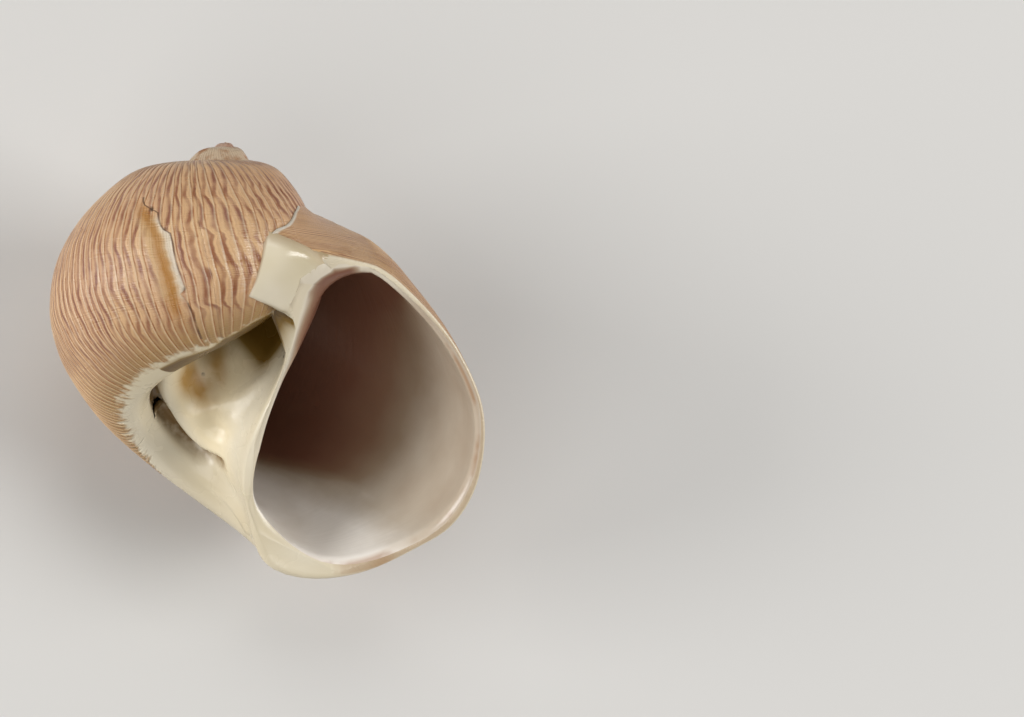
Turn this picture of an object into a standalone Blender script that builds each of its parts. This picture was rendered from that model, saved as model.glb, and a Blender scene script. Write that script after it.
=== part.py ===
"""Moon snail shell, stigmaulax elenae: one solid that lies on its back with the mouth upwards.

The shell is a tube wound round an axis.  Its section is drawn once, as radius from the axis and
depth below the apex in millimetres, at the size it has where the mouth's plane crosses the right
side.  Every other section is that one, turned and scaled by the growth law.
Run with: blender --background --python part.py
"""
import bpy
import bmesh
import numpy as np
from math import pi, radians
from mathutils import Matrix

MM = 0.001
NAME = "moon_snail_shell"

# Growth law, and the turns at which sections are set: from, to, count
GROWTH_PER_TURN = 2.97
TUBE_TURNS = [(-3.4, -2.0, 12), (-2.0, -1.0, 19), (-1.0, 0.0, 36)]
HOLLOW_TURNS = [(-1.75, -0.9, 10), (-0.9, 0.04, 27)]

# The last quarter turn sinks along the axis and its suture moves out
SINK = 3.2
SINK_OUT = 0.6
SINK_START = -0.27
SINK_END = 0.15

# The base is drawn up beside the mouth
BASE_LIFT = 2.2
BASE_LIFT_START = -0.15
BASE_LIFT_END = -0.02

# The first whorls are narrower and stand higher than the law gives
SPIRE_START = -0.85
SPIRE_BLEND = 0.7
SPIRE_NARROW = 0.14
SPIRE_RISE = 0.25

# Plane of the mouth: its distance in front of the axis at its middle depth, and its slope
MOUTH_IN_FRONT = 2.0
MOUTH_SLOPE = 0.32
MOUTH_MIDDLE = 21.7

# The wall is thin at the lip and thickens a little way in, where the hollow is this much smaller
HOLLOW_SHRINK = 0.09
HOLLOW_CENTRE = (14.0, 23.0)
HOLLOW_BLEND = 0.12

# Outside of the tube: suture, shoulder, side, base, basal band, groove, ridge, umbilicus, and the
# part that lies inside the turn before
OUTSIDE = [
    (5.2, 4.3), (8.6, 3.9), (13.4, 5.4), (17.7, 9.3), (21.3, 14.2), (23.6, 20.0), (23.9, 26.4),
    (22.4, 31.6), (20.1, 35.3), (16.4, 39.2), (12.2, 41.3), (9.8, 40.7), (8.4, 38.4), (7.6, 35.6),
    (6.0, 34.6), (4.1, 32.2), (3.1, 28.5), (3.2, 24.9), (4.2, 21.4), (5.7, 17.8), (6.6, 14.4),
    (5.6, 11.0), (5.6, 7.0),
]

# The same outside at the lip: the shoulder is drawn in and the groove is filled.  The blend takes
# this much of a turn, and more at the groove, which lies within a radius of 8.5
LIP_OUTSIDE = [
    (5.2, 5.6), (9.4, 5.6), (13.8, 6.8), (17.7, 10.1), (21.2, 14.6), (23.7, 20.1), (24.1, 26.5),
    (22.6, 31.7), (20.2, 35.4), (16.4, 39.2), (12.0, 41.3), (8.7, 41.3), (6.8, 39.6), (5.7, 37.0),
    (5.0, 34.6), (4.2, 31.9), (3.7, 28.5), (3.7, 24.9), (4.5, 21.4), (5.8, 17.8), (6.6, 14.4),
    (5.6, 11.0), (5.6, 7.0),
]
LIP_BLEND = 0.10
GROOVE_BLEND = 0.24
GROOVE_WITHIN = 8.5

# Hollow of the tube at the lip
HOLLOW = [
    (9.3, 8.4), (11.0, 7.0), (13.8, 7.7), (17.2, 10.8), (20.5, 15.1), (22.9, 20.4), (23.1, 26.2),
    (21.4, 31.0), (18.9, 34.8), (15.4, 37.9), (12.2, 38.9), (9.2, 37.8), (7.0, 36.0), (5.6, 34.0),
    (4.8, 32.1), (4.8, 28.7), (5.2, 22.9), (6.2, 18.3), (7.6, 14.6), (8.7, 11.2),
]

# Glossy pad beside the mouth, on the turn before.  Rows run from its top to its free lower edge,
# each from its left edge to the rim: right of the axis, behind it, and below the apex
PAD_ROWS = [
    [(4.7, -7.9, 7.8), (6.2, -7.7, 8.2), (7.9, -6.9, 8.8), (9.8, -5.2, 9.8)],
    [(4.5, -8.8, 8.8), (6.1, -8.6, 9.1), (7.8, -7.6, 9.6), (9.8, -5.4, 10.6)],
    [(4.3, -9.0, 10.3), (5.8, -8.6, 10.5), (7.4, -7.3, 10.9), (9.3, -5.1, 11.7)],
    [(4.0, -8.8, 12.0), (5.4, -8.1, 12.2), (7.0, -6.7, 12.6), (8.7, -4.7, 13.3)],
    [(3.6, -8.3, 13.6), (4.7, -7.4, 13.8), (6.0, -6.1, 14.4), (7.5, -4.4, 15.4)],
]
PAD_TO_BACK = (-0.9, 2.4, -0.5)
PAD_STEPS = 3

# How the shell lies, in degrees: laid on its back about X, leant over about Y, turned about Z
LAID_BACK = -76.9
LEANT_OVER = -8.5
TURNED = 31.1

# Where that puts the apex.  The shell's lowest point would be 0.7 below the floor, and a flat
# spot about 9 across is cut there
APEX_PLACE = (-14.77, 11.74, 21.37)
FLOOR_BLOCK = 60.0

SHELL_COLOUR = (0.62, 0.42, 0.28, 1.0)
SHELL_ROUGHNESS = 0.35


def eased(value):
    """Smooth step from 0 to 1."""
    value = np.clip(value, 0.0, 1.0)
    return value * value * (3.0 - 2.0 * value)


def loop_through(points, steps):
    """Closed smooth curve through the points, with this many steps to a span."""
    here = np.asarray(points, float)
    before = np.roll(here, 1, axis=0)
    after = np.roll(here, -1, axis=0)
    beyond = np.roll(here, -2, axis=0)
    curve = []
    for k in range(steps):
        f = k / steps
        curve.append(0.5 * (2 * here + (after - before) * f
                            + (2 * before - 5 * here + 4 * after - beyond) * f ** 2
                            + (3 * here - before - 3 * after + beyond) * f ** 3))
    return np.stack(curve, axis=1).reshape(-1, 2)


def on_shell(turn, radius, depth):
    """Where a point of the section lies at a turn: right of the axis, behind it, below the apex."""
    scale = GROWTH_PER_TURN ** turn
    sink = eased((turn - SINK_START) / (SINK_END - SINK_START))
    young = eased((SPIRE_START - turn) / SPIRE_BLEND)
    lift = eased((turn - BASE_LIFT_START) / (BASE_LIFT_END - BASE_LIFT_START))
    down = depth * scale - SPIRE_RISE * young
    down = down + SINK * sink * np.clip(1 - (depth - 3.5) / 32, 0, 1)
    down = down - BASE_LIFT * lift * eased((depth - 29) / 11)
    out = radius * scale + SINK_OUT * sink * np.clip(1 - (depth - 3.5) / 5.2, 0, 1)
    out = out * (1 - SPIRE_NARROW * young)
    angle = -2 * pi * turn
    return np.stack([out * np.cos(angle), out * np.sin(angle), down], axis=-1)


def turn_at_mouth(radius, depth):
    """The turn at which each point's line along the shell meets the plane of the mouth."""
    low = np.full(len(radius), -0.24)
    high = np.full(len(radius), 0.24)
    for _ in range(40):
        middle = (low + high) / 2
        place = on_shell(middle, radius, depth)
        plane = MOUTH_SLOPE * (place[:, 2] - MOUTH_MIDDLE) - MOUTH_IN_FRONT
        behind = place[:, 1] > plane
        low = np.where(behind, middle, low)
        high = np.where(behind, high, middle)
    return (low + high) / 2


def stations(runs):
    """All the turns of the runs, in order."""
    turns = [np.linspace(first, last, count, endpoint=False) for first, last, count in runs]
    return np.append(np.concatenate(turns), runs[-1][1])


def solid_through(name, rings):
    """Closed solid through rings of places in millimetres below the apex, capped at both ends."""
    bm = bmesh.new()
    rows = []
    for ring in rings:
        rows.append([bm.verts.new((x * MM, y * MM, -down * MM)) for x, y, down in ring])
    for one, other in zip(rows, rows[1:]):
        for k in range(len(one)):
            n = (k + 1) % len(one)
            bm.faces.new((one[k], one[n], other[n], other[k]))
    bm.faces.new(rows[0][::-1])
    bm.faces.new(rows[-1])
    bmesh.ops.recalc_face_normals(bm, faces=bm.faces)
    mesh = bpy.data.meshes.new(name)
    bm.to_mesh(mesh)
    bm.free()
    return bpy.data.objects.new(name, mesh)


def make_tube():
    """The shell as a solid tube, whose turns overlap until they are joined."""
    body = loop_through(OUTSIDE, 2)
    lip = loop_through(LIP_OUTSIDE, 2)
    start = turn_at_mouth(*lip.T)
    reach = np.where(body[:, :1] < GROOVE_WITHIN, GROOVE_BLEND, LIP_BLEND)
    rings = []
    for turn in stations(TUBE_TURNS):
        near_lip = np.clip(1 + turn / reach, 0, 1) ** 2
        radius, depth = (body + (lip - body) * near_lip).T
        rings.append(on_shell(turn + start, radius, depth))
    return solid_through(NAME, rings)


def make_hollow():
    """The room inside the tube, which runs out through the mouth."""
    section = loop_through(HOLLOW, 2)
    start = turn_at_mouth(*section.T)
    rings = []
    for turn in stations(HOLLOW_TURNS):
        size = 1 - HOLLOW_SHRINK * eased(-turn / HOLLOW_BLEND)
        radius, depth = (HOLLOW_CENTRE + (section - HOLLOW_CENTRE) * size).T
        rings.append(on_shell(turn + start, radius, depth))
    return solid_through("hollow", rings)


def make_floor_block():
    """Block whose top is the floor."""
    bpy.ops.mesh.primitive_cube_add(size=FLOOR_BLOCK * MM, location=(0, 0, -FLOOR_BLOCK * MM / 2))
    block = bpy.context.object
    block.name = "floor_block"
    return block


def curve_through(points, steps):
    """Open smooth curve through the points, which may be rows of points themselves."""
    points = np.asarray(points, float)
    padded = np.concatenate([2 * points[:1] - points[1:2], points, 2 * points[-1:] - points[-2:-1]])
    curve = []
    for before, here, after, beyond in zip(padded, padded[1:], padded[2:], padded[3:]):
        for f in np.arange(steps) / steps:
            curve.append(0.5 * (2 * here + (after - before) * f
                                + (2 * before - 5 * here + 4 * after - beyond) * f ** 2
                                + (3 * here - before - 3 * after + beyond) * f ** 3))
    return np.array(curve + [points[-1]])


def make_pad():
    """The pad as a slab: each ring runs along the front and back behind it."""
    rings = []
    for row in curve_through(PAD_ROWS, PAD_STEPS):
        front = curve_through(row, PAD_STEPS)
        rings.append(np.vstack([front, (front[::PAD_STEPS] + PAD_TO_BACK)[::-1]]))
    return solid_through("pad", rings)


def change(shell, tool, operation, own_turns=False):
    """Join a tool to the shell or cut the shell with it, as a live modifier."""
    step = shell.modifiers.new(tool.name, "BOOLEAN")
    step.operation = operation
    step.object = tool
    step.use_self = own_turns
    tool.hide_render = True
    tool.display_type = "WIRE"


def make_material():
    material = bpy.data.materials.new("aragonite_shell")
    material.use_nodes = True
    surface = material.node_tree.nodes["Principled BSDF"]
    surface.inputs["Base Color"].default_value = SHELL_COLOUR
    surface.inputs["Roughness"].default_value = SHELL_ROUGHNESS
    surface.inputs["Metallic"].default_value = 0.0
    return material


def build():
    for old in list(bpy.data.objects):
        bpy.data.objects.remove(old)
    parts = bpy.data.collections.new(NAME)
    cutters = bpy.data.collections.new("cutters")
    bpy.context.scene.collection.children.link(parts)
    bpy.context.scene.collection.children.link(cutters)

    lie = bpy.data.objects.new("lie", None)
    lie.location = [distance * MM for distance in APEX_PLACE]
    lie.rotation_euler = [radians(angle) for angle in (LAID_BACK, LEANT_OVER, TURNED)]
    parts.objects.link(lie)

    shell = make_tube()
    hollow = make_hollow()
    lip_pad = make_pad()
    parts.objects.link(shell)
    for tool in (hollow, lip_pad):
        cutters.objects.link(tool)
    for piece in (shell, hollow, lip_pad):
        piece.parent = lie
    floor_block = make_floor_block()
    for holder in floor_block.users_collection:
        holder.objects.unlink(floor_block)
    cutters.objects.link(floor_block)

    change(shell, lip_pad, "UNION", own_turns=True)
    change(shell, hollow, "DIFFERENCE")
    change(shell, floor_block, "DIFFERENCE")
    shell.data.materials.append(make_material())
    shell.data.shade_smooth()
    shell.data.set_sharp_from_angle(angle=radians(50))


build()
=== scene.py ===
"""Moon snail shell, stigmaulax elenae, lying on its back with its mouth upwards.

The shell grows as one spiral tube, so the script follows that growth: the ribbed wall of the
whorls, the hollow inside it, the callus pad beside the mouth, then all of them made one shell,
its finishes, and the plain room and camera it is looked at with.
"""
from functools import partial
from math import atan, cos, pi, radians, sin

import bpy
import numpy as np
from mathutils import Matrix, Vector
from mathutils.bvhtree import BVHTree


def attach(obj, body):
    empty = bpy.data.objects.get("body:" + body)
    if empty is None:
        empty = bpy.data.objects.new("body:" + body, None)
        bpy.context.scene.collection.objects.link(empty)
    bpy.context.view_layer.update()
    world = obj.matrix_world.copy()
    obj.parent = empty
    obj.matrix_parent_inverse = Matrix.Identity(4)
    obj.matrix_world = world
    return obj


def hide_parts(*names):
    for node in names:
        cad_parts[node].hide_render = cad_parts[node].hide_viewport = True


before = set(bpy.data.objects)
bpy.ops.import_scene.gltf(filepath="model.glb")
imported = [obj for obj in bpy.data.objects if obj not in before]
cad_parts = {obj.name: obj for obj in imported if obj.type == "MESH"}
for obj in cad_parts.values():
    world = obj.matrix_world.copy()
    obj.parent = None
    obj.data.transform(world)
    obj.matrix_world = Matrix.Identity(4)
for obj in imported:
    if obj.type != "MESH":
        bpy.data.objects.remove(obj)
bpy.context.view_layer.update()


# The wall of the whorls.  A tube of aragonite laid down along the lip, one growth step after
# another, so the steps stand as fine axial ribs with a groove between them.  Sizes are in
# millimetres at the mouth; every earlier turn is the same section, scaled by the growth law.
GROWTH_PER_TURN = 2.97
SINK, SINK_OUT, SINK_START, SINK_END = 3.2, 0.6, -0.27, 0.15
BASE_LIFT, BASE_LIFT_START, BASE_LIFT_END = 2.2, -0.15, -0.02
SPIRE_START, SPIRE_BLEND, SPIRE_NARROW, SPIRE_RISE = -0.85, 0.7, 0.14, 0.25
ROOF_TOP, ROOF_FADE, SUTURE_FADE, BASE_TOP, BASE_FADE = 3.5, 32, 5.2, 29, 11
MOUTH_IN_FRONT, MOUTH_SLOPE, MOUTH_MIDDLE = 2.0, 0.32, 21.7
OUTSIDE = [
    (5.2, 4.3), (8.6, 3.9), (13.4, 5.4), (17.7, 9.3), (21.3, 14.2), (23.6, 20.0), (23.9, 26.4),
    (22.4, 31.6), (20.1, 35.3), (16.4, 39.2), (12.2, 41.3), (9.8, 40.7), (8.4, 38.4), (7.6, 35.6),
    (6.0, 34.6), (4.1, 32.2), (3.1, 28.5), (3.2, 24.9), (4.2, 21.4), (5.7, 17.8), (6.6, 14.4),
    (5.6, 11.0), (5.6, 7.0),
]
LIP_OUTSIDE = [
    (5.2, 5.6), (9.4, 5.6), (13.8, 6.8), (17.7, 10.1), (21.2, 14.6), (23.7, 20.1), (24.1, 26.5),
    (22.6, 31.7), (20.2, 35.4), (16.4, 39.2), (12.0, 41.3), (8.7, 41.3), (6.8, 39.6), (5.7, 37.0),
    (5.0, 34.6), (4.2, 31.9), (3.7, 28.5), (3.7, 24.9), (4.5, 21.4), (5.8, 17.8), (6.6, 14.4),
    (5.6, 11.0), (5.6, 7.0),
]
LIP_BLEND, GROOVE_BLEND, GROOVE_WITHIN = 0.10, 0.24, 8.5
HOLLOW = [
    (9.3, 8.4), (11.0, 7.0), (13.8, 7.7), (17.2, 10.8), (20.5, 15.1), (22.9, 20.4), (23.1, 26.2),
    (21.4, 31.0), (18.9, 34.8), (15.4, 37.9), (12.2, 38.9), (9.2, 37.8), (7.0, 36.0), (5.6, 34.0),
    (4.8, 32.1), (4.8, 28.7), (5.2, 22.9), (6.2, 18.3), (7.6, 14.6), (8.7, 11.2),
]
FIRST_TURN = -3.4
RIB_WIDTHS = [(-3.4, 0.16), (-2.4, 0.22), (-1.6, 0.36), (-1.2, 0.55), (-0.95, 0.86), (-0.86, 1.04),
              (-0.735, 1.07), (-0.712, 0.86), (-0.5, 0.84), (-0.35, 0.92), (-0.12, 0.92),
              (-0.06, 0.6), (-0.03, 0.4), (0.0, 0.34)]
GROOVE_DEPTH = 0.095
RIB_STEPS = [0, 0.09, 0.25, 0.6, 0.88]
EARLY_RIB_STEPS = [0, 0.2, 0.75]
RIB_PROFILE = [(0.0, 0.0), (0.09, 0.7), (0.25, 1.0), (0.6, 0.92), (0.88, 0.62), (1.0, 0.0)]
EARLY_TURNS, THIN_TURNS = -1.1, -1.12
SEED = 11


def eased(value):
    value = np.clip(value, 0.0, 1.0)
    return value * value * (3.0 - 2.0 * value)


def between(before, here, after, beyond, f):
    """The smooth curve through four points, at the share f of the way from here to after."""
    return 0.5 * (2 * here + (after - before) * f
                  + (2 * before - 5 * here + 4 * after - beyond) * f ** 2
                  + (3 * here - before - 3 * after + beyond) * f ** 3)


def on_curve(points, places):
    """Points of the smooth closed curve through the points, at places counted in its spans."""
    points = np.asarray(points, float)
    span = np.floor(places).astype(int)
    f = (places - span)[:, None]
    return between(*(points[(span + k) % len(points)] for k in (-1, 0, 1, 2)), f)


def along(points, lengths):
    """Places on the closed curve at the lengths, in millimetres from its first point."""
    places = np.linspace(0, len(points), len(points) * 24 + 1)
    steps = np.linalg.norm(np.diff(on_curve(points, places), axis=0), axis=1)
    return np.interp(lengths, np.append(0, np.cumsum(steps)), places)


def on_shell(turn, radius, depth):
    """Where a point of the section lies at a turn: right of the axis, behind it, above the apex."""
    scale = GROWTH_PER_TURN ** turn
    sink = eased((turn - SINK_START) / (SINK_END - SINK_START))
    young = eased((SPIRE_START - turn) / SPIRE_BLEND)
    lift = eased((turn - BASE_LIFT_START) / (BASE_LIFT_END - BASE_LIFT_START))
    down = depth * scale - SPIRE_RISE * young
    down = down + SINK * sink * np.clip(1 - (depth - ROOF_TOP) / ROOF_FADE, 0, 1)
    down = down - BASE_LIFT * lift * eased((depth - BASE_TOP) / BASE_FADE)
    out = radius * scale + SINK_OUT * sink * np.clip(1 - (depth - ROOF_TOP) / SUTURE_FADE, 0, 1)
    out = out * (1 - SPIRE_NARROW * young)
    return np.stack([out * np.cos(-2 * pi * turn), out * np.sin(-2 * pi * turn), -down], axis=-1)


def turn_at_mouth(section):
    """The turn at which each point's line along the shell meets the plane of the mouth."""
    low, high = np.full(len(section), -0.24), np.full(len(section), 0.24)
    for _ in range(40):
        middle = (low + high) / 2
        place = on_shell(middle, *section.T)
        behind = place[:, 1] > MOUTH_SLOPE * (-place[:, 2] - MOUTH_MIDDLE) - MOUTH_IN_FRONT
        low, high = np.where(behind, middle, low), np.where(behind, high, middle)
    return (low + high) / 2


def inward(section):
    """Unit vectors square to the closed section, pointing into it."""
    run = np.roll(section, -1, axis=0) - np.roll(section, 1, axis=0)
    square = np.stack([-run[:, 1], run[:, 0]], axis=-1)
    square /= np.linalg.norm(square, axis=1)[:, None]
    return square


def gap_to(section, other):
    """How far each point of the section is from the other curve."""
    return np.linalg.norm(section[:, None] - other[None], axis=-1).min(axis=1)


def evened(values):
    """A closed row of values, each made the mean of the nine around it."""
    return np.convolve(np.concatenate([values[-4:], values, values[:4]]), np.ones(9) / 9, "valid")


def read(items, key, width=1, kind=float):
    """What every item of a mesh has under the key, as an array."""
    values = np.empty(len(items) * width, kind)
    items.foreach_get(key, values)
    return values if width == 1 else values.reshape(-1, width)


def add(tree, kind, inputs=(), out=0, stops=(), **settings):
    """Add a node, with its settings, stops, values and links, and give back one of its outputs."""
    node = tree.nodes.new(kind)
    for name, value in settings.items():
        setattr(node, name, value)
    for number, (at, value) in enumerate(stops):
        element = node.color_ramp.elements[number] if number < 2 else node.color_ramp.elements.new(at)
        element.position = at
        element.color = value if isinstance(value, list) else [value, value, value, 1.0]
    for socket, value in (inputs.items() if isinstance(inputs, dict) else enumerate(inputs)):
        if isinstance(value, bpy.types.NodeSocket):
            tree.links.new(value, node.inputs[socket])
        elif value is not None:
            node.inputs[socket].default_value = value
    return node.outputs[out]


times, smooth = {"operation": "MULTIPLY"}, {"interpolation_type": "SMOOTHSTEP"}
rgba = {"out": 2, "data_type": "RGBA"}


def winding_tree():
    """Winds a flat table of section points into whorls by the growth law, and cuts the grooves."""
    tree = bpy.data.node_groups.new("wind_whorls", "GeometryNodeTree")
    tree.interface.new_socket("Geometry", in_out="INPUT", socket_type="NodeSocketGeometry")
    for name, value in (("Growth per turn", GROWTH_PER_TURN), ("Sink", SINK), ("Sink out", SINK_OUT),
                        ("Base lift", BASE_LIFT), ("Spire narrow", SPIRE_NARROW),
                        ("Spire rise", SPIRE_RISE), ("Groove depth", GROOVE_DEPTH), ("Seed", SEED)):
        socket = tree.interface.new_socket(name, in_out="INPUT", socket_type="NodeSocketFloat")
        socket.default_value = value
    tree.interface.new_socket("Material", in_out="INPUT", socket_type="NodeSocketMaterial")
    tree.interface.new_socket("Geometry", in_out="OUTPUT", socket_type="NodeSocketGeometry")
    given, put = tree.nodes.new("NodeGroupInput").outputs, partial(add, tree)
    turn, radius, depth, rib, carving, lift_here = (
        put("GeometryNodeInputNamedAttribute", {"Name": name})
        for name in ("turn", "radius", "depth", "rib", "carving", "lift"))
    maths, ease = "ShaderNodeMath", "ShaderNodeMapRange"
    scale = put(maths, [given["Growth per turn"], turn], operation="POWER")
    sink = put(ease, [turn, SINK_START, SINK_END], **smooth)
    young = put(ease, [turn, SPIRE_START - SPIRE_BLEND, SPIRE_START, 1.0, 0.0], **smooth)
    lift = put(ease, [turn, BASE_LIFT_START, BASE_LIFT_END], **smooth)
    base = put(ease, [depth, BASE_TOP, BASE_TOP + BASE_FADE], **smooth)
    upper = put(ease, [depth, ROOF_TOP, ROOF_TOP + ROOF_FADE, 1.0, 0.0])
    suture = put(ease, [depth, ROOF_TOP, ROOF_TOP + SUTURE_FADE, 1.0, 0.0])
    down = put(maths, [depth, scale], **times)
    rise = put(maths, [given["Spire rise"], young], **times)
    down = put(maths, [down, rise], operation="SUBTRACT")
    share = put(maths, [sink, upper], **times)
    down = put(maths, [given["Sink"], share, down], operation="MULTIPLY_ADD")
    share = put(maths, [lift, base], **times)
    share = put(maths, [given["Base lift"], share], **times)
    down = put(maths, [down, share], operation="SUBTRACT")
    share = put(maths, [sink, suture], **times)
    share = put(maths, [given["Sink out"], share], **times)
    out = put(maths, [radius, scale, share], operation="MULTIPLY_ADD")
    narrow = put(maths, [given["Spire narrow"], young], **times)
    narrow = put(maths, [1.0, narrow], operation="SUBTRACT")
    out = put(maths, [out, narrow], **times)
    angle = put(maths, [turn, -2 * pi], **times)
    along_right = put(maths, [angle], operation="COSINE")
    along_back = put(maths, [angle], operation="SINE")
    place = put("ShaderNodeCombineXYZ", [
        put(maths, [out, along_right], **times),
        put(maths, [out, along_back], **times),
        put(maths, [down, -1.0], **times)])
    wound = put("GeometryNodeSetPosition", {"Geometry": given["Geometry"], "Position": place})

    across = put(maths, [rib], operation="FRACT")
    profile = tree.nodes.new("ShaderNodeFloatCurve")
    points = profile.mapping.curves[0].points
    for at, height in RIB_PROFILE[1:-1]:
        points.new(at, height)
    points[0].location, points[-1].location = RIB_PROFILE[0], RIB_PROFILE[-1]
    profile.mapping.update()
    tree.links.new(across, profile.inputs["Value"])
    uneven = put("ShaderNodeTexNoise", {"Vector": place, "W": given["Seed"], "Scale": 0.55},
                 noise_dimensions="4D")
    uneven = put(ease, [uneven, 0.3, 0.7, 0.6, 1.3])
    deep = put(maths, [carving, given["Groove depth"]], **times)
    deep = put(maths, [deep, uneven], **times)
    low = put(maths, [profile.outputs[0], 1.0], operation="SUBTRACT")
    height = put(maths, [low, deep, lift_here], operation="MULTIPLY_ADD")
    normal = put("GeometryNodeInputNormal")
    shift = put("ShaderNodeVectorMath", {0: normal, "Scale": height}, operation="SCALE")
    carved = put("GeometryNodeSetPosition", {"Geometry": wound, "Offset": shift})
    real = put("GeometryNodeRealizeInstances", {"Geometry": carved})
    done = put("GeometryNodeSetMaterial", {"Geometry": real, "Material": given["Material"]})
    tree.links.new(done, tree.nodes.new("NodeGroupOutput").inputs["Geometry"])
    return tree


def wind(name, tree, table, around, uses, material):
    """Make one closed stretch of tube from a table of rings, with the tree's modifier applied.
    Around is the length of a whole ring, which the last column of faces runs up to."""
    rings, count = table["turn"].shape
    here = np.arange(rings * count).reshape(rings, count)
    beside = np.roll(here, -1, axis=1)
    quads = np.stack([here[:-1], here[1:], beside[1:], beside[:-1]], axis=-1).reshape(-1, 4)
    faces = [list(here[0])] + quads.tolist() + [list(here[-1][::-1])]
    mesh = bpy.data.meshes.new(name)
    start = np.stack([table["radius"], table["depth"], table["turn"]], axis=-1).reshape(-1, 3)
    mesh.from_pydata(start, [], faces)
    for key in ("turn", "radius", "depth", "rib", "carving", "lift"):
        layer = mesh.attributes.new(key, "FLOAT", "POINT")
        layer.data.foreach_set("value", table[key].ravel().astype(np.float32))
    corners = read(mesh.loops, "vertex_index", kind=np.int32)
    for layer_name, keys in (("growth", ("rib", "length")), ("age", ("age", "piece"))):
        layer = mesh.uv_layers.new(name=layer_name)
        pairs = np.stack([table[key].ravel() for key in keys], axis=-1)[corners]
        if layer_name == "growth":
            pairs[count:-count].reshape(rings - 1, count, 4, 2)[:, -1, 2:, 1] = around
        layer.data.foreach_set("uv", pairs.ravel().astype(np.float32))
    mesh.shade_smooth()
    maker = bpy.data.objects.new(name, mesh)
    bpy.context.scene.collection.objects.link(maker)
    modifier = maker.modifiers.new("wind", "NODES")
    modifier.node_group = tree
    for item in tree.interface.items_tree:
        if item.in_out == "INPUT" and item.name in uses:
            modifier[item.identifier] = uses[item.name]
        if item.in_out == "INPUT" and item.name == "Material":
            modifier[item.identifier] = material
    bpy.context.view_layer.update()
    depsgraph = bpy.context.evaluated_depsgraph_get()
    wound = bpy.data.meshes.new_from_object(maker.evaluated_get(depsgraph),
                                            preserve_all_data_layers=True, depsgraph=depsgraph)
    for key in ("turn", "radius", "depth", "rib", "carving", "lift"):
        if key in wound.attributes:
            wound.attributes.remove(wound.attributes[key])
    bpy.data.objects.remove(maker)
    return bpy.data.objects.new(name, wound)


# Growth lines, from the lip back to the first whorl, then each given its rib's steps
draw = np.random.default_rng(SEED)
grooves, widths = [-0.003], []
while grooves[-1] > FIRST_TURN:
    turn = grooves[-1]
    scale = GROWTH_PER_TURN ** turn
    width = np.interp(turn, *zip(*RIB_WIDTHS)) * (1 + 0.2 * draw.uniform(-1, 1))
    widths.append(width / (2 * pi * OUTSIDE[6][0] * scale))
    grooves.append(turn - widths[-1])
grooves, widths = np.array(grooves[::-1]), np.array(widths[::-1])
lines, counts, spacings = [], [], []
for number, (turn, width) in enumerate(zip(grooves, widths)):
    for part in (RIB_STEPS if turn > EARLY_TURNS else EARLY_RIB_STEPS):
        lines.append(turn + part * width)
        counts.append(number + part)
        spacings.append(width)
lines, counts, spacings = (np.array(values) for values in (lines, counts, spacings))

# Rows along the section: close together where ribs show, wider where it is smooth or hidden
perimeter = np.linalg.norm(np.diff(on_curve(OUTSIDE, np.linspace(0, len(OUTSIDE), 2000)), axis=0),
                           axis=1).sum()
rows = np.concatenate([np.arange(0.4, 56, 0.88), np.arange(56.4, 71, 0.54), np.arange(71.2, 85, 0.9),
                       np.arange(86.0, perimeter - 0.8, 3.2)])
places = along(OUTSIDE, rows)
body, lip = on_curve(OUTSIDE, places), on_curve(LIP_OUTSIDE, places)
inner = on_curve(HOLLOW, np.linspace(0, len(HOLLOW), 400, endpoint=False))
start = turn_at_mouth(lip)
sharp_lip = eased((rows - 6) / 8) * eased((56 - rows) / 5)      # the outer lip is thinner-edged
lip_round = np.clip((0.42 - 0.20 * sharp_lip) * gap_to(lip, inner), 0.22, 1.4)
hidden = (rows > 84) | (rows < 5)
lip_round = np.where(hidden, 0.5, lip_round)
lip_round = evened(lip_round)
edge = lip_round / (2 * pi * lip[:, 0])
reach = np.where(body[:, 0] < GROOVE_WITHIN, GROOVE_BLEND, LIP_BLEND)

# Where the ribs end at the border of the smooth base, from the mouth backwards
RIBS_END = [(-3.4, 46.0), (-0.9, 45.5), (-0.82, 46.3), (-0.775, 48.6), (-0.72, 49.4), (-0.663, 49.0),
            (-0.632, 49.4), (-0.574, 50.5), (-0.504, 52.2), (-0.403, 54.0), (-0.33, 54.3),
            (-0.27, 53.6), (-0.2, 52.6), (0.0, 51.5)]
rib_end = np.interp(lines, *zip(*RIBS_END))[:, None]
# A healed break crosses the front of the last whorl: the regrown side is lower than the old lip
SCAR = [(14.0, -0.668), (17.8, -0.672), (19.4, -0.679), (19.8, -0.687), (20.4, -0.696), (23.6, -0.7005),
        (24.3, -0.7035), (24.8, -0.7105), (27.3, -0.7130), (30.7, -0.7115), (34.3, -0.7125),
        (35.7, -0.7140), (36.3, -0.7060), (38.0, -0.7135), (41.2, -0.7170), (46.6, -0.7175)]
SCAR_DROP, SCAR_HEALS = 0.17, 2.6
from_scar = ((lines[:, None] - np.interp(rows, *zip(*SCAR))[None]) * 2 * pi * body[None, :, 0]
             * GROWTH_PER_TURN ** lines[:, None])
scar_here = (eased((rows - 16.5) / 2.5) * eased((47.5 - rows) / 2.0))[None]
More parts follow.
